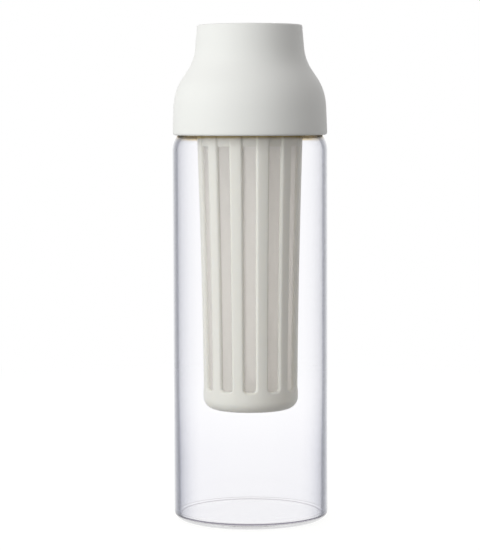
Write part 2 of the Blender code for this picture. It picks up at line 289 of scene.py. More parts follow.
def addTurned(bm, profile, looped=False, segments=roundSegments, startAngle=0.0):
    turns = [startAngle + fullTurn * i / segments for i in range(segments)]
    rings = []
    for radius, height in profile:
        angles = turns if radius > weldDistance else [0.0]
        rings.append([bm.verts.new((radius * math.cos(a), radius * math.sin(a), height)) for a in angles])
    following = rings[1:] + rings[:1] if looped else rings[1:]
    for first, second in zip(rings, following):
        bridgeLoops(bm, first, second)


def makePiece(name, bm, material, body, node, sharpDegrees=40):
    bmesh.ops.remove_doubles(bm, verts=bm.verts, dist=weldDistance)
    bmesh.ops.recalc_face_normals(bm, faces=bm.faces)
    mesh = bpy.data.meshes.new(name)
    bm.to_mesh(mesh)
    bm.free()
    mesh.shade_smooth()
    mesh.set_sharp_from_angle(angle=math.radians(sharpDegrees))
    mesh.materials.append(material)
    piece = bpy.data.objects.new(name, mesh)
    bpy.context.scene.collection.objects.link(piece)
    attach(piece, body)
    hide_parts(node)
    print("made", name, "with", len(mesh.polygons), "faces")


# Shared effects: node groups that put out colours, masks and heights

def newGroup(name, inputs, outputs):
    group = bpy.data.node_groups.new(name, "ShaderNodeTree")
    for label, kind in inputs.items():
        group.interface.new_socket(label, in_out="INPUT", socket_type=kind)
    for label, kind in outputs.items():
        group.interface.new_socket(label, in_out="OUTPUT", socket_type=kind)
    return group, group.nodes.new("NodeGroupInput").outputs, group.nodes.new("NodeGroupOutput")


def addGroup(tree, group, values):
    node = tree.nodes.new("ShaderNodeGroup")
    node.node_tree = group
    setInputs(tree, node, values)
    return node.outputs


def addBump(tree, height, finish):
    return addNode(tree, "ShaderNodeBump", {
        "Height": height,
        "Strength": finish["relief"],
        "Distance": finish["reliefDepth"],
    }).outputs["Normal"]


skinPattern = {
    "grainDetail": 2.0,
    "mottleScale": 38.0,
    "mottleDetail": 3.0,
    "mottleShare": 0.5,                 # of the change in roughness; the grain makes the rest
    "flowScale": 260.0,
    "flowDetail": 2.0,
    "flowStretch": (1.0, 1.0, 0.12),    # draws the flow lines out upwards
    "flowShare": 0.3,                   # of the change in colour; the mottling makes the rest
    "flowRelief": 0.35,
    "roughnessFrom": 0.3,
    "roughnessTo": 0.7,
}


def mouldedSkinGroup(pattern):
    # fine grain, broad mottling and faint flow lines of an injection moulding
    group, given, result = newGroup(
        "mouldedSkin",
        {
            "Light Colour": "NodeSocketColor",
            "Deep Colour": "NodeSocketColor",
            "Grain Scale": "NodeSocketFloat",
            "Roughness Low": "NodeSocketFloat",
            "Roughness High": "NodeSocketFloat",
        },
        {
            "Colour": "NodeSocketColor",
            "Roughness": "NodeSocketFloat",
            "Height": "NodeSocketFloat",
        },
    )
    place = objectPlace(group)
    stretched = addNode(group, "ShaderNodeMapping", {"Vector": place, "Scale": pattern["flowStretch"]})
    grain = addNoise(group, place, given["Grain Scale"], pattern["grainDetail"])
    mottle = addNoise(group, place, pattern["mottleScale"], pattern["mottleDetail"])
    flow = addNoise(group, stretched.outputs["Vector"], pattern["flowScale"], pattern["flowDetail"])
    tone = addMean(group, mottle, flow, pattern["flowShare"])
    roughness = addNode(group, "ShaderNodeMapRange", {
        "Value": addMean(group, grain, mottle, pattern["mottleShare"]),
        "From Min": pattern["roughnessFrom"],
        "From Max": pattern["roughnessTo"],
        "To Min": given["Roughness Low"],
        "To Max": given["Roughness High"],
    })
    setInputs(group, result, {
        "Colour": addBlend(group, tone, given["Deep Colour"], given["Light Colour"]),
        "Roughness": roughness.outputs["Result"],
        "Height": addMath(group, "ADD", grain, addProduct(group, flow, pattern["flowRelief"])),
    })
    return group


mouldedSkin = mouldedSkinGroup(skinPattern)


def mouldedMaterial(name, finish):
    material, tree = newMaterial(name)
    skin = addGroup(tree, mouldedSkin, {
        "Light Colour": finish["lightColour"],
        "Deep Colour": finish["deepColour"],
        "Grain Scale": finish["grainScale"],
        "Roughness Low": finish["roughness"][0],
        "Roughness High": finish["roughness"][1],
    })
    shader = tree.nodes["Principled BSDF"]
    setInputs(tree, shader, {
        "Base Color": skin["Colour"],
        "Roughness": skin["Roughness"],
        "Normal": addBump(tree, skin["Height"], finish),
        "IOR": finish["ior"],
        "Specular IOR Level": finish["specular"],
    })
    if "scatter" in finish:
        setInputs(tree, shader, {
            "Subsurface Weight": finish["scatter"],
            "Subsurface Radius": finish["scatterRadius"],
            "Subsurface Scale": 1.0,
        })
    return material


# Jug: one piece of clear glass

jug = {
    "wall": 0.0020,
    "base": 0.0026,
    "baseCorner": 0.0045,
    "floorCorner": 0.0030,
    "shoulderCorner": 0.0150,
    "shoulderSweep": 60,             # degrees, before the neck's own curve takes over
    "neckCorner": 0.0053,
    "neckLength": 0.0105,
    "arcSteps": 18,
    "wallSteps": 8,
    "ior": 1.47,
    "shadow": (0.955, 0.962, 0.968),     # tint of lamplight that comes in through a skin
    "bounce": (0.930, 0.922, 0.905),     # tint of bounced light that does
    # painted shade of the outer skin, dark bands towards the edges, from square on (0) to edge on (1)
    "paintedEdgeShades": [
        (0.00, (0.992, 0.991, 1.000)),
        (0.27, (0.972, 0.971, 0.990)),
        (0.39, (0.868, 0.872, 0.905)),
        (0.46, (0.752, 0.757, 0.797)),
        (0.525, (0.620, 0.626, 0.676)),
        (0.575, (0.490, 0.496, 0.545)),
        (0.615, (0.345, 0.350, 0.400)),
        (0.655, (0.085, 0.090, 0.122)),
        (0.70, (0.054, 0.058, 0.078)),
        (0.757, (0.112, 0.120, 0.155)),
        (0.82, (0.185, 0.193, 0.236)),
        (0.88, (0.480, 0.488, 0.530)),
    ],
    "paintedFloorLineShade": (0.45, 0.43, 0.46),     # painted shade of the line where the floor turns up into the wall
    "floorLine": (0.00003, 0.00045),     # heights above the floor between which that line runs
    "guided": 4.5,                       # reflections inside the glass before light counts as let out
    "paintedLowShade": (0.904, 0.904, 0.922),    # painted shade the wall takes on towards its foot
    "lowReach": (0.030, 0.085),          # heights between which that tone fades out
    "lowWiden": 0.030,                   # how far the edges' painted dark bands spread there
    # painted shade of the edges towards the foot
    "paintedLowEdgeShade": (0.820, 0.830, 0.865),
    "lowEdge": (0.30, 0.65),             # from square on (0) to edge on (1)
    "paintedLeftShade": (0.900, 0.905, 0.925),   # painted shade the wall takes on at its left edge
    "leftReach": (-0.045, -0.030),
    "paintedSealAmber": (0.46, 0.30, 0.09),      # painted amber shade of the seal, seen through the top of the shoulder
    "warmReach": (0.2222, 0.2249),       # heights between which it comes in
    "warmBeside": (0.024, 0.033),        # distances to the side over which it reaches lower
    "warmDrop": 0.0014,
    "warmNear": 0.006,                   # how close the cap has to be to cast it
    "warmCover": (0.06, 0.18),           # how much of it the cap has to shut off
    "paintedFootShade": (0.930, 0.920, 0.915),   # painted shade on the base corner, seen from outside
    "paintedFootLine": (0.08, 0.07, 0.10),      # painted dark line where the floor turns up, seen through that corner
    "footReach": ((0.0030, 0.0032), (0.0039, 0.0042)),     # heights where that line starts and ends
}


def outsideArc(tree, across, along, limit):
    # 1 where a place lies farther from an arc's centre than a limit
    squares = [addMath(tree, "POWER", addMath(tree, "MAXIMUM", side, 0.0), 2.0) for side in (across, along)]
    return addMath(tree, "GREATER_THAN", addMath(tree, "ADD", *squares), limit ** 2)


def skinMasks(tree, values, reach, height):
    # the outer skin of wall, shoulder and base corner, and the base corner's own
    inset = values["wall"] / 3
    shoulderX, shoulderZ = values["shoulderCentre"]
    baseX, baseZ = values["baseCentre"]
    upper = outsideArc(
        tree,
        addMath(tree, "SUBTRACT", reach, shoulderX),
        addMath(tree, "SUBTRACT", height, shoulderZ),
        values["shoulderCorner"] - inset,
    )
    lower = outsideArc(
        tree,
        addMath(tree, "SUBTRACT", reach, baseX),
        addMath(tree, "SUBTRACT", baseZ, height),
        values["baseCorner"] - inset,
    )
    aboveBase = addMath(tree, "GREATER_THAN", height, baseZ)
    overCorner = addMath(tree, "GREATER_THAN", reach, baseX)
    return addProduct(tree, addMath(tree, "MAXIMUM", aboveBase, lower), overCorner, upper), lower


def paintedSealShade(tree, values, place, reach):
    # painted amber shade of the seal on the shoulder, only while the cap is close
    beside = addFade(tree, addMath(tree, "ABSOLUTE", place["X"]), *values["warmBeside"])
    height = addMath(tree, "ADD", place["Z"], addProduct(tree, beside, values["warmDrop"]))
    # what stands in the way of light from straight out tells how close it is
    outward = addNode(tree, "ShaderNodeCombineXYZ", {
        axis: addMath(tree, "DIVIDE", place[axis], reach) for axis in "XY"
    }).outputs[0]
    space = addNode(tree, "ShaderNodeAmbientOcclusion", {"Distance": values["warmNear"], "Normal": outward})
    covered = addRest(tree, space.outputs["AO"])
    return addProduct(
        tree,
        addFade(tree, height, *values["warmReach"]),
        addFade(tree, covered, *values["warmCover"]),
    )


def toneRamp(tree, factor, paintedEdgeShades):
    ramp = addNode(tree, "ShaderNodeValToRGB", {"Fac": factor})
    stops = ramp.color_ramp.elements
    while len(stops) < len(paintedEdgeShades):
        stops.new(1.0)
    for stop, (position, colour) in zip(stops, paintedEdgeShades):
        stop.position = position
        stop.color = (*colour, 1.0)
    return ramp.outputs["Color"]


def glassColour(tree, values):
    facing = tree.nodes.new("ShaderNodeLayerWeight").outputs["Facing"]
    backfacing = tree.nodes.new("ShaderNodeNewGeometry").outputs["Backfacing"]
    place = splitPlace(tree, objectPlace(tree))
    height = place["Z"]
    squares = [addMath(tree, "POWER", place[axis], 2.0) for axis in "XY"]
    reach = addMath(tree, "SQRT", addMath(tree, "ADD", *squares))
    rising, falling = (addFade(tree, height, *heights) for heights in values["footReach"])
    outer, corner = skinMasks(tree, values, reach, height)
    outer = addProduct(tree, outer, rising)
    low = addRest(tree, addFade(tree, height, *values["lowReach"]))
    widened = addMath(tree, "ADD", facing, addProduct(tree, low, values["lowWiden"]))
    # the outer skin takes the painted edge shade by how edge on it is
    colour = addBlend(tree, outer, values["paintedEdgeShades"][0][1], toneRamp(tree, widened, values["paintedEdgeShades"]))
    edgeOn = addFade(tree, facing, *values["lowEdge"])
    left = addRest(tree, addFade(tree, place["X"], *values["leftReach"]))
    warm = paintedSealShade(tree, values, place, reach)
    # the base corner's front, with painted shade and the edge of the floor painted as a dark line in it
    front = addProduct(tree, addRest(tree, backfacing), corner)
    # a paler painted line of shade on the inner skin, round the edge of the floor
    lineLow, lineHigh = (values["base"] + rise for rise in values["floorLine"])
    line = addProduct(
        tree,
        addMath(tree, "GREATER_THAN", height, lineLow),
        addMath(tree, "LESS_THAN", height, lineHigh),
    )
    # painted shades, painted dark lines and the seal's painted amber, each on its own mask
    tints = [
        ("paintedLowShade", (low, outer)),
        ("paintedLowEdgeShade", (low, outer, edgeOn)),
        ("paintedLeftShade", (left, outer)),
        ("paintedSealAmber", (warm, outer)),
        ("paintedFootShade", (addRest(tree, rising), front)),
        ("paintedFootLine", (addMath(tree, "SUBTRACT", rising, falling), front)),
        ("paintedFloorLineShade", (line, addRest(tree, outer))),
    ]
    for tone, masks in tints:
        colour = addBlend(tree, addProduct(tree, *masks), colour, values[tone], "MULTIPLY")
    return colour


def glassMaterial(values):
    material, tree = newMaterial("clearGlass")
    shader = tree.nodes["Principled BSDF"]
    setInputs(tree, shader, {
        "Base Color": glassColour(tree, values),
        "Roughness": 0.0,
        "IOR": values["ior"],
        "Transmission Weight": 1.0,
    })
    # lamps and bounced light pass straight through, and so does light that runs on inside the wall
    rays = tree.nodes.new("ShaderNodeLightPath").outputs
    clear = addShader(tree, "ShaderNodeBsdfTransparent", {"Color": values["shadow"]})
    dim = addShader(tree, "ShaderNodeBsdfTransparent", {"Color": values["bounce"]})
    guided = addMath(tree, "GREATER_THAN", rays["Glossy Depth"], values["guided"])
    surface = mixShaders(tree, rays["Is Shadow Ray"], shader.outputs[0], clear)
    surface = mixShaders(tree, guided, surface, clear)
    surface = mixShaders(tree, rays["Is Diffuse Ray"], surface, dim)
    setInputs(tree, tree.nodes["Material Output"], {"Surface": surface})
    return material


def makeJug(values):
    low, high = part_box("glass_jug")
    radius, rimTop = high.x, high.z
    wall, steps = values["wall"], values["arcSteps"]
    inner = radius - wall
    sweep, shoulder, neck = values["shoulderSweep"], values["shoulderCorner"], values["neckCorner"]
    lean = math.radians(sweep)
    neckCentre = (radius - shoulder + (shoulder + neck) * math.cos(lean), rimTop - values["neckLength"])
    shoulderCentre = (radius - shoulder, neckCentre[1] - (shoulder + neck) * math.sin(lean))
    rimCentre = (neckCentre[0] - neck - wall / 2, rimTop - wall / 2)
    floor, base = values["floorCorner"], values["baseCorner"]
    floorCentre = (inner - floor, values["base"] + floor)
    baseCentre = (radius - base, low.z + base)
    profile = [(0.0, values["base"])]
    profile += arcPoints(floorCentre, floor, -90, 90, steps)
    profile += [(inner, z) for z in evenSteps(floorCentre[1], shoulderCentre[1], values["wallSteps"])[1:-1]]
    profile += arcPoints(shoulderCentre, shoulder - wall, 0, sweep, steps)
    profile += arcPoints(neckCentre, neck + wall, sweep - 180, -sweep, steps)
    profile += arcPoints(rimCentre, wall / 2, 180, -180, steps)
    profile += arcPoints(neckCentre, neck, 180, sweep, steps)
    profile += arcPoints(shoulderCentre, shoulder, sweep, -sweep, steps)
    profile += [(radius, z) for z in evenSteps(shoulderCentre[1], baseCentre[1], values["wallSteps"])[1:-1]]
    profile += arcPoints(baseCentre, base, 0, -90, steps)
    profile += [(0.0, low.z)]
    bm = bmesh.new()
    addTurned(bm, profile)
    material = glassMaterial(values | {"shoulderCentre": shoulderCentre, "baseCentre": baseCentre})
    makePiece("jug_glass", bm, material, "jug", "glass_jug")


# Cap: hollow shell shaped like a bottle's top

cap = {
    "wall": 0.0023,
    "topRadius": 0.0307,
    "topCorner": 0.0012,
    "topSteps": 8,
    "neckSpread": 0.0009,
    "neckLength": 0.0120,
    "skirtLength": 0.01525,
    "skirtSpread": 0.0005,
    "lipCorner": 0.0015,
    "lipSteps": 6,
    "lipInnerSteps": 4,
    "neckPull": 0.474,       # how far each end of the curve keeps its own direction
    "neckSlope": 0.07,
    "skirtPull": 0.553,
    "skirtSlope": 0.039,
    "curveSteps": 40,
    "beadHeight": 0.0020,
    "beadDepth": 0.0006,
    "finish": {
        "lightColour": (0.845, 0.850, 0.840),
        "deepColour": (0.825, 0.830, 0.818),
        "grainScale": 2600.0,
        "roughness": (0.42, 0.54),
        "ior": 1.49,
        "specular": 0.25,
        "relief": 0.25,
        "reliefDepth": 0.00005,
    },
}


def bezierPoints(start, startHandle, endHandle, end, steps):
    points = []
    for step in range(steps + 1):
        t = step / steps
        weights = ((1 - t) ** 3, 3 * t * (1 - t) ** 2, 3 * t * t * (1 - t), t ** 3)
        corners = (start, startHandle, endHandle, end)
        points.append(tuple(sum(w * c[axis] for w, c in zip(weights, corners)) for axis in (0, 1)))
    return points


def capSide(values, skirtRadius, bottom, top, inset=0.0):
    # from the end of the neck down to the start of the skirt
    start = (values["topRadius"] + values["neckSpread"], top - values["neckLength"])
    end = (skirtRadius - values["skirtSpread"], bottom + values["skirtLength"])
    neckPull = values["neckPull"] * (start[1] - end[1])
    skirtPull = values["skirtPull"] * (start[1] - end[1])
    startHandle = (start[0] + values["neckSlope"] * neckPull, start[1] - neckPull)
    endHandle = (end[0] - values["skirtSlope"] * skirtPull, end[1] + skirtPull)
    points = bezierPoints(start, startHandle, endHandle, end, values["curveSteps"])
    moved = []
    for index, (x, z) in enumerate(points):
        before, after = points[max(index - 1, 0)], points[min(index + 1, len(points) - 1)]
        alongX, alongZ = after[0] - before[0], after[1] - before[1]
        length = math.hypot(alongX, alongZ)
        moved.append((x + inset * alongZ / length, z - inset * alongX / length))
    return moved


def radiusAt(side, height):
    for (upperX, upperZ), (lowerX, lowerZ) in zip(side, side[1:]):
        if lowerZ <= height <= upperZ:
            return upperX + (lowerX - upperX) * (upperZ - height) / (upperZ - lowerZ)
    return side[0][0]


def makeCap(values):
    low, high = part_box("cap_shell")
    skirtRadius, bottom, top = high.x, low.z, high.z
    wall, topRadius = values["wall"], values["topRadius"]
    corner, lip = values["topCorner"], values["lipCorner"]
    inner = capSide(values, skirtRadius, bottom, top, wall)
    skirt = inner + [(skirtRadius - wall, bottom)]
    profile = [(0.0, top), (topRadius / 2, top)]
    profile += arcPoints((topRadius - corner, top - corner), corner, 90, -90, values["topSteps"])
    profile += capSide(values, skirtRadius, bottom, top)
    profile += arcPoints((skirtRadius - lip, bottom + lip), lip, 0, -90, values["lipSteps"])
    innerLip = (skirtRadius - wall + lip / 2, bottom + lip / 2)
    profile += arcPoints(innerLip, lip / 2, -90, -90, values["lipInnerSteps"])
    # the snap bead stands inside, just under the lid's disc
    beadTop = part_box("strainer_frame")[1].z
    beadBottom = beadTop - values["beadHeight"]
    beadMiddle = (beadTop + beadBottom) / 2
    profile += [point for point in reversed(inner) if point[1] < beadBottom - weldDistance]
    profile += [(radiusAt(skirt, beadBottom), beadBottom)]
    profile += [(radiusAt(skirt, beadMiddle) - values["beadDepth"], beadMiddle)]
    profile += [(radiusAt(skirt, beadTop), beadTop)]
    profile += [point for point in reversed(inner) if point[1] > beadTop + weldDistance]
    profile += [(topRadius - wall, top - wall), (0.0, top - wall)]
    bm = bmesh.new()
    addTurned(bm, profile)
    material = mouldedMaterial("capPlastic", values["finish"])
    makePiece("cap_outer", bm, material, "cap", "cap_shell")
    return skirt, material


# Lid inside the cap: a disc over the mouth and a ring that carries the seal

lid = {
    "disc": 0.0018,
    "flange": 0.0030,
    "ringWall": 0.0020,
    "edge": 0.0004,
    "edgeSteps": 3,
}


def makeLid(values, capInner, material):
    low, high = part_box("inner_lid")
    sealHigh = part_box("lid_gasket")[1]
    ringOuter = sealHigh.x - seal["outerLeg"] - fitGap
    ringInner = ringOuter - values["ringWall"]
    ringBottom, flangeTop = low.z, high.z
    discBottom = flangeTop - values["flange"]
    edge, steps = values["edge"], values["edgeSteps"]
    flangeLow = radiusAt(capInner, discBottom) - fitGap
    flangeHigh = radiusAt(capInner, flangeTop) - fitGap
    profile = [
        (0.0, discBottom + values["disc"]),
        (ringInner, discBottom + values["disc"]),
        (ringOuter, flangeTop),
        (flangeHigh, flangeTop),
        (flangeLow, discBottom + edge),
        (flangeLow - edge, discBottom),
        (ringOuter + edge, discBottom),
        (ringOuter, discBottom - edge),
    ]
    profile += arcPoints((ringOuter - edge, ringBottom + edge), edge, 0, -90, steps)
    profile += arcPoints((ringInner + edge, ringBottom + edge), edge, -90, -90, steps)
    profile += [(ringInner, discBottom - edge), (ringInner - edge, discBottom)]
    profile += [(ringInner / 2, discBottom), (0.0, discBottom)]
    bm = bmesh.new()
    addTurned(bm, profile)
    makePiece("lid_inner", bm, material, "cap", "inner_lid")


# Silicone: the seal on the lid's ring and the strainer's grip ring

silicone = {
    "lightColour": (0.66, 0.50, 0.27),
    "deepColour": (0.55, 0.39, 0.18),
    "grainScale": 1400.0,
    "roughness": (0.34, 0.48),
    "ior": 1.41,
    "specular": 0.5,
    "relief": 0.2,
    "reliefDepth": 0.00006,
    "scatter": 0.35,
    "scatterRadius": (0.006, 0.004, 0.002),
}

seal = {
    "outerLeg": 0.0010,
    "innerLeg": 0.0009,
    "chamfer": 0.0020,
    "slopeDrop": 0.0022,
    "lipHeight": 0.0012,
    "lipPitch": 0.0026,
    "lipCount": 2,
    "lipCrown": [(0.000075, 0.42), (0.0, 0.50), (0.000075, 0.58)],     # set back, share of the lip's height
    "edge": 0.0003,
    "edgeSteps": 3,
    "sharpDegrees": 30,
}

gripRing = {
    "arcSteps": 12,
}


def makeSeal(values, material):
    low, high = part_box("lid_gasket")
    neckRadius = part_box("strainer_frame")[1].x + ribs["flangeSetback"]
    slotOuter = high.x - values["outerLeg"]
    slotInner = slotOuter - 2 * fitGap - lid["ringWall"]
    face = slotInner - values["innerLeg"]
    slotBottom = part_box("inner_lid")[0].z - fitGap
    edge, chamfer = values["edge"], values["chamfer"]
    profile = [(slotOuter, high.z), (high.x - edge, high.z), (high.x, high.z - edge)]
    profile += arcPoints((high.x - edge, low.z + edge), edge, 0, -90, values["edgeSteps"])
    sole = low.z + values["slopeDrop"]
    profile += [(slotOuter, low.z), (face + chamfer, sole), (face, sole + chamfer)]
    for number in range(values["lipCount"]):
        start = sole + chamfer + values["lipHeight"] + number * values["lipPitch"]
        profile += [(face, start)]
        for setBack, share in values["lipCrown"]:
            profile += [(neckRadius + fitGap + setBack, start + values["lipHeight"] * share)]
        profile += [(face, start + values["lipHeight"])]
    profile += [(face, high.z), (slotInner, high.z), (slotInner, slotBottom), (slotOuter, slotBottom)]
    bm = bmesh.new()
    addTurned(bm, profile, looped=True)
    makePiece("lid_seal", bm, material, "cap", "lid_gasket", values["sharpDegrees"])


def makeGripRing(values, material):
    low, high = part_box("strainer_grip_ring")
    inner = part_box("strainer_frame")[1].x - ribs["collarSetback"] - ribs["grooveDepth"] + fitGap
    radius, middle = (high.z - low.z) / 2, (high.z + low.z) / 2
    profile = [(inner, high.z)]
    profile += arcPoints((high.x - radius, middle), radius, 90, -180, values["arcSteps"])
    profile += [(inner, low.z)]
    bm = bmesh.new()
    addTurned(bm, profile, looped=True)
    makePiece("strainer_ring", bm, material, "strainer", "strainer_grip_ring")


# Strainer: one white moulding with twelve ribs, and the woven sleeve behind them

ribs = {
    "wall": 0.0020,
    "floor": 0.0022,
    "footCorner": 0.0070,
    "footSteps": 12,
    "footInnerSteps": 8,
    "taper": 0.0034,
    "flarePower": 1.5,
    "collarSetback": 0.0025,
    "collarWall": 0.0018,
    "stepDrop": 0.0173,              # from the flange's top to the foot of the collar
    "stepRise": 0.0018,
    "stepDepth": 0.0012,
    "flangeThickness": 0.0020,
    "flangeSetback": 0.0002,
    "edge": 0.0004,
    "edgeSteps": 4,
    "grooveDepth": 0.0010,
    "grooveDrop": 0.0097,
    "grooveHeight": 0.0026,
    "windowCount": 12,
    "turn": math.radians(-1.0),
    "windowFoot": 0.0125,
    "windowHead": 0.0102,
    "throatHalf": math.radians(7.3),
    "rounding": 0.00138,
    "corner": 0.0019,
    "panel": 0.0008,
    "recessHead": 0.0025,
    "paneFoot": 0.0040,              # a pane is one window's share of the wall
    "paneHead": 0.0004,
    "innerHead": 0.0030,
    "sideSteps": 16,
    "cornerSteps": 6,
    "sillSteps": 4,
    "headSteps": 10,
    "recessSteps": 3,
    "roundSteps": 5,
    "sharpDegrees": 45,
    "finish": {
        "lightColour": (0.885, 0.873, 0.820),
        "deepColour": (0.865, 0.851, 0.793),
        "grainScale": 3200.0,
        "roughness": (0.34, 0.46),
        "ior": 1.49,
        "specular": 0.40,
        "relief": 0.15,
        "reliefDepth": 0.00004,
        "scatter": 0.18,
        "scatterRadius": (0.0050, 0.0045, 0.0036),
    },
}


def strainerRadius(shape, z):
    # nearly straight at the foot and flaring to the neck, as the solid's wall does
    share = (z - shape["flareStart"]) / (shape["stepHeight"] - shape["flareStart"])
    share = min(max(share, 0.0), 1.0)
    return shape["shoulderRadius"] - shape["taper"] + shape["taper"] * share ** shape["flarePower"]


def strainerShape(values):
    # the values with the heights and radii that follow from the solid's box
    low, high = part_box("strainer_frame")
    collar, stepHeight = high.x - values["collarSetback"], high.z - values["stepDrop"]
    windowLow, windowHigh = low.z + values["windowFoot"], stepHeight - values["windowHead"]
    shape = values | {
        "bottom": low.z,
        "top": high.z,
        "flangeRadius": high.x,
        "collarRadius": collar,
        "shoulderRadius": collar - values["stepDepth"],
        "stepHeight": stepHeight,
        "flareStart": low.z + values["footCorner"],
        "windowLow": windowLow,
        "windowHigh": windowHigh,
        "recessTop": stepHeight - values["recessHead"],
        "paneLow": windowLow - values["paneFoot"],
        "paneHigh": stepHeight - values["paneHead"],
        "innerHigh": windowHigh + values["innerHead"],
    }
    shape["scale"] = strainerRadius(shape, windowLow)       # unrolls angles at the window's foot
    return shape


def windowPath(half, bottom, corner, top, shape):
    # down the left side, round the lower corners and up the right side
    centreZ, reach = bottom + corner, half - corner
    left = [(-half, z) for z in evenSteps(top, centreZ, shape["sideSteps"])]
    left += arcPoints((-reach, centreZ), corner, 180, 90, shape["cornerSteps"])[1:]
    left += [(x, bottom) for x in evenSteps(-reach, 0.0, shape["sillSteps"] // 2)[1:]]
    return left + [(-x, z) for x, z in reversed(left[:-1])]


def panePath(half, bottom, centreZ, top, shape):
    # the same count of points, on the edge of the pane
    halfCorner = shape["cornerSteps"] // 2
    left = [(-half, z) for z in evenSteps(top, centreZ, shape["sideSteps"])]
    left += [(-half, z) for z in evenSteps(centreZ, bottom, halfCorner)[1:]]
    left += [(x, bottom) for x in evenSteps(-half, 0.0, halfCorner + shape["sillSteps"] // 2)[1:]]
    return left + [(-x, z) for x, z in reversed(left[:-1])]


def closeAbove(path, head, half, shape, extra=0):
    # runs the path's sides on up to a level head and closes it across the top
    rightUp = [(half, z) for z in evenSteps(path[-1][1], head, extra)[1:]] if extra else []
    across = [(x, head) for x in evenSteps(half, -half, shape["headSteps"])[1:-1]]
    leftDown = [(-x, z) for x, z in reversed(rightUp)]
    return path + rightUp + across + leftDown


def blendPaths(first, second, share):
    return [(a + (c - a) * share, b + (d - b) * share) for (a, b), (c, d) in zip(first, second)]


def wallStrips(shape):
    # one window's share of the wall, unrolled: strips of rows, and whether the rows are closed loops
    # each row is a path and its depth under the outer skin
    wall, corner, extra = shape["wall"], shape["corner"], shape["recessSteps"]
    windowLow, windowHigh, recessTop = shape["windowLow"], shape["windowHigh"], shape["recessTop"]
    throat = shape["throatHalf"] * shape["scale"]
    cell = math.pi / shape["windowCount"] * shape["scale"]
    panelAngle = math.asin(1.0 - (wall - shape["panel"]) / wall)
    angles = [0.0] + evenSteps(panelAngle, quarterTurn, shape["roundSteps"])
    offsets = [shape["rounding"] * (1.0 - math.cos(angle)) for angle in angles]
    depths = [wall * (1.0 - math.sin(angle)) for angle in angles]
    paths = [
        windowPath(throat + offset, windowLow - offset, corner + offset, windowHigh, shape)
        for offset in offsets
    ]
    throatRows = list(zip(paths[:2], depths[:2]))
    # outer skin: the rounding round the window and the recess above it
    outerRows = []
    for path, offset, depth in list(zip(paths, offsets, depths))[1:]:
        head = recessTop + offset - offsets[1]
        outerRows.append((closeAbove(path, head, throat + offset, shape, extra), depth))
    pane = panePath(cell, shape["paneLow"], windowLow + corner, windowHigh, shape)
    outerPane = closeAbove(pane, shape["paneHigh"], cell, shape, extra)
    outerRows.append((blendPaths(outerRows[-1][0], outerPane, 0.5), 0.0))
    outerRows.append((outerPane, 0.0))
    # closed panel in the recess, and its lower edge over the window
    half = throat + offsets[1]
    columns = evenSteps(-half, half, shape["headSteps"])
    lowerColumns = evenSteps(-throat, throat, shape["headSteps"])
    levels = evenSteps(windowHigh, recessTop, extra)
    panelRows = [([(x, z) for x in columns], depths[1]) for z in levels]
    edgeRows = [
        ([(x, windowHigh) for x in columns], depths[1]),
        ([(x, windowHigh) for x in lowerColumns], depths[0]),
    ]
    # inner skin
    window = closeAbove(paths[0], windowHigh, throat, shape)
    innerPane = [(-cell, shape["innerHigh"]), *pane[1:-1], (cell, shape["innerHigh"])]
    innerPane = closeAbove(innerPane, shape["innerHigh"], cell, shape)
    innerRows = [(blendPaths(window, innerPane, share), wall) for share in (0.0, 0.5, 1.0)]
    return [
        (throatRows, False),
        (outerRows, True),
        (panelRows, False),
        (edgeRows, False),
        (innerRows, True),
    ]


def addStrip(bm, shape, rows, closed, centre):
    # rolls a strip's rows round the axis, to either side of its window's middle
    loops = []
    for path, depth in rows:
        verts = []
        for x, z in path:
            angle, radius = centre + x / shape["scale"], strainerRadius(shape, z) - depth
            verts.append(bm.verts.new((radius * math.cos(angle), radius * math.sin(angle), z)))
        loops.append(verts)
    for first, second in zip(loops, loops[1:]):
        bridgeLoops(bm, first, second, closed)


def footProfiles(shape):
    # outer and inner skin of the closed foot
    wall, corner, bottom = shape["wall"], shape["footCorner"], shape["bottom"]
    centreX = strainerRadius(shape, bottom) - corner
    radius, paneLow = strainerRadius(shape, shape["paneLow"]), shape["paneLow"]
    outer = [(radius, paneLow)]
    outer += arcPoints((centreX, bottom + corner), corner, 0, -90, shape["footSteps"])
    outer += [(centreX / 2, bottom), (0.0, bottom)]
    floorTop, innerCorner = bottom + shape["floor"], corner - wall
    inner = [(0.0, floorTop), (centreX / 2, floorTop)]
    inner += arcPoints((centreX, floorTop + innerCorner), innerCorner, -90, 90, shape["footInnerSteps"])
    inner += [(radius - wall, paneLow)]
    return [outer, inner]


def collarProfile(shape):
    # up the outside of step, collar, groove and flange, and down the bore
    edge, steps, top = shape["edge"], shape["edgeSteps"], shape["top"]
    stepHeight, paneHigh, innerHigh = shape["stepHeight"], shape["paneHigh"], shape["innerHigh"]
    collar, flange = shape["collarRadius"], shape["flangeRadius"]
    bore, grooveFloor = collar - shape["collarWall"], collar - shape["grooveDepth"]
    stepTop, flangeLow = stepHeight + shape["stepRise"], top - shape["flangeThickness"]
    grooveLow = top - shape["grooveDrop"]
    grooveHigh = grooveLow + shape["grooveHeight"]
    profile = [(strainerRadius(shape, paneHigh), paneHigh)]
    profile += [(strainerRadius(shape, stepHeight), stepHeight)]
    profile += [(collar - edge / 3, stepTop - edge / 3), (collar, stepTop + edge / 3)]
    profile += [(collar, grooveLow), (grooveFloor, grooveLow)]
    profile += [(grooveFloor, grooveHigh), (collar, grooveHigh)]
    profile += [(collar, flangeLow - edge), (collar + edge, flangeLow)]
    profile += arcPoints((flange - edge, flangeLow + edge), edge, -90, 90, steps)
    profile += arcPoints((flange - edge, top - edge), edge, 0, 90, steps)
    profile += arcPoints((bore + edge, top - edge), edge, 90, 90, steps)
    profile += [(bore, stepTop)]
    profile += [(strainerRadius(shape, stepHeight) - shape["wall"], stepHeight)]
    profile += [(strainerRadius(shape, innerHigh) - shape["wall"], innerHigh)]
    return profile


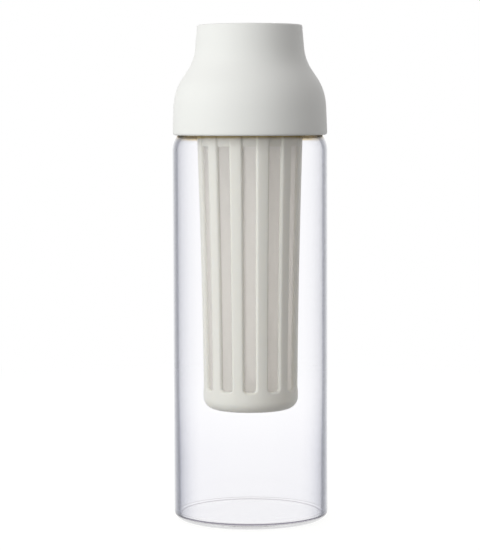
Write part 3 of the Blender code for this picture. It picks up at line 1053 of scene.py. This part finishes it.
def makeRibs(shape):
    count, firstWindow = shape["windowCount"], shape["turn"] - quarterTurn
    bm = bmesh.new()
    strips = wallStrips(shape)
    for number in range(count):
        for rows, closed in strips:
            addStrip(bm, shape, rows, closed, firstWindow + fullTurn * number / count)
    segments, startAngle = count * shape["headSteps"], firstWindow - math.pi / count
    for profile in (*footProfiles(shape), collarProfile(shape)):
        addTurned(bm, profile, segments=segments, startAngle=startAngle)
    material = mouldedMaterial("strainerPlastic", shape["finish"])
    sharp = shape["sharpDegrees"]
    makePiece("strainer_ribs", bm, material, "strainer", "strainer_frame", sharp)


# Woven sleeve: fine polyester cloth, let through as holes between the threads

sleeve = {
    "gap": 0.00006,
    "thickness": 0.0004,
    "heightSteps": 16,
    "threadPitch": 0.00046,
    "threadShare": 0.62,
    "threadColour": (0.970, 0.958, 0.945),
    "shadeColour": (0.945, 0.930, 0.915),
    "roughness": 0.72,
    "specular": 0.3,
    "relief": 0.5,
    "reliefDepth": 0.0001,
    "lightThrough": 0.70,        # share of the light on a thread that comes out behind it
}

weavePattern = {
    "roundHeight": 0.8,          # how high the threads round the sleeve stand, against those up it
    "mottleScale": 90.0,
    "mottleDetail": 3.0,
    "mottleShare": 0.5,          # of the change in colour; painted shade where the threads dip makes the rest
}


def weaveGroup(pattern):
    # plain weave laid round the axis: threads up the wall and round it, over and under
    group, given, result = newGroup(
        "fineWeave",
        {
            "Around Count": "NodeSocketFloat",
            "Pitch": "NodeSocketFloat",
            "Thread Share": "NodeSocketFloat",
            "Thread Colour": "NodeSocketColor",
            "Shade Colour": "NodeSocketColor",
        },
        {
            "Colour": "NodeSocketColor",
            "Threads": "NodeSocketFloat",
            "Height": "NodeSocketFloat",
        },
    )
    place = objectPlace(group)
    axes = splitPlace(group, place)
    angle = addMath(group, "ARCTAN2", axes["Y"], axes["X"])
    around = addProduct(group, addMath(group, "DIVIDE", angle, fullTurn), given["Around Count"])
    upward = addMath(group, "DIVIDE", axes["Z"], given["Pitch"])

    def threadHeight(coordinate):
        # 0 on the middle of a thread, 1 midway between two
        fraction = addMath(group, "FRACT", coordinate)
        return addMath(group, "ABSOLUTE", addMath(group, "SUBTRACT", addProduct(group, fraction, 2.0), 1.0))

    upThreads, roundThreads = threadHeight(around), threadHeight(upward)
    upMask = addMath(group, "LESS_THAN", upThreads, given["Thread Share"])
    roundMask = addMath(group, "LESS_THAN", roundThreads, given["Thread Share"])
    crossing = addMath(group, "ADD", addMath(group, "FLOOR", around), addMath(group, "FLOOR", upward))
    upOver = addProduct(group, addRest(group, upThreads), addMath(group, "PINGPONG", crossing, 1.0))
    roundOver = addProduct(group, addRest(group, roundThreads), pattern["roundHeight"])
    height = addMath(group, "MAXIMUM", upOver, roundOver)
    mottle = addNoise(group, place, pattern["mottleScale"], pattern["mottleDetail"])
    # threads that dip under others get the painted shade colour
    tone = addMean(group, height, mottle, pattern["mottleShare"])
    setInputs(group, result, {
        "Colour": addBlend(group, tone, given["Shade Colour"], given["Thread Colour"]),
        "Threads": addMath(group, "MAXIMUM", upMask, roundMask),
        "Height": height,
    })
    return group


def clothMaterial(values, pattern, radius):
    material, tree = newMaterial("polyesterMesh")
    weave = addGroup(tree, weaveGroup(pattern), {
        "Around Count": float(round(fullTurn * radius / values["threadPitch"])),
        "Pitch": values["threadPitch"],
        "Thread Share": values["threadShare"],
        "Thread Colour": values["threadColour"],
        "Shade Colour": values["shadeColour"],
    })
    shader = tree.nodes["Principled BSDF"]
    setInputs(tree, shader, {
        "Base Color": weave["Colour"],
        "Roughness": values["roughness"],
        "Specular IOR Level": values["specular"],
        "Normal": addBump(tree, weave["Height"], values),
    })
    through = addShader(tree, "ShaderNodeBsdfTranslucent", {"Color": weave["Colour"]})
    threads = mixShaders(tree, values["lightThrough"], shader.outputs[0], through)
    holes = addShader(tree, "ShaderNodeBsdfTransparent", {})
    cloth = mixShaders(tree, weave["Threads"], holes, threads)
    setInputs(tree, tree.nodes["Material Output"], {"Surface": cloth})
    return material


def makeSleeve(values, pattern, shape):
    low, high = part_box("strainer_mesh")
    reach = shape["wall"] + values["gap"]
    heights = evenSteps(low.z, high.z, values["heightSteps"])
    outside = [(strainerRadius(shape, z) - reach, z) for z in reversed(heights)]
    inside = [(radius - values["thickness"], z) for radius, z in reversed(outside)]
    bm = bmesh.new()
    addTurned(bm, outside + inside, looped=True)
    material = clothMaterial(values, pattern, outside[len(outside) // 2][0])
    makePiece("strainer_sleeve", bm, material, "strainer", "strainer_mesh")


makeJug(jug)
capInner, capPlastic = makeCap(cap)
makeLid(lid, capInner, capPlastic)
amberSilicone = mouldedMaterial("amberSilicone", silicone)
makeSeal(seal, amberSilicone)
makeGripRing(gripRing, amberSilicone)
strainer = strainerShape(ribs)
makeRibs(strainer)
makeSleeve(sleeve, weavePattern, strainer)
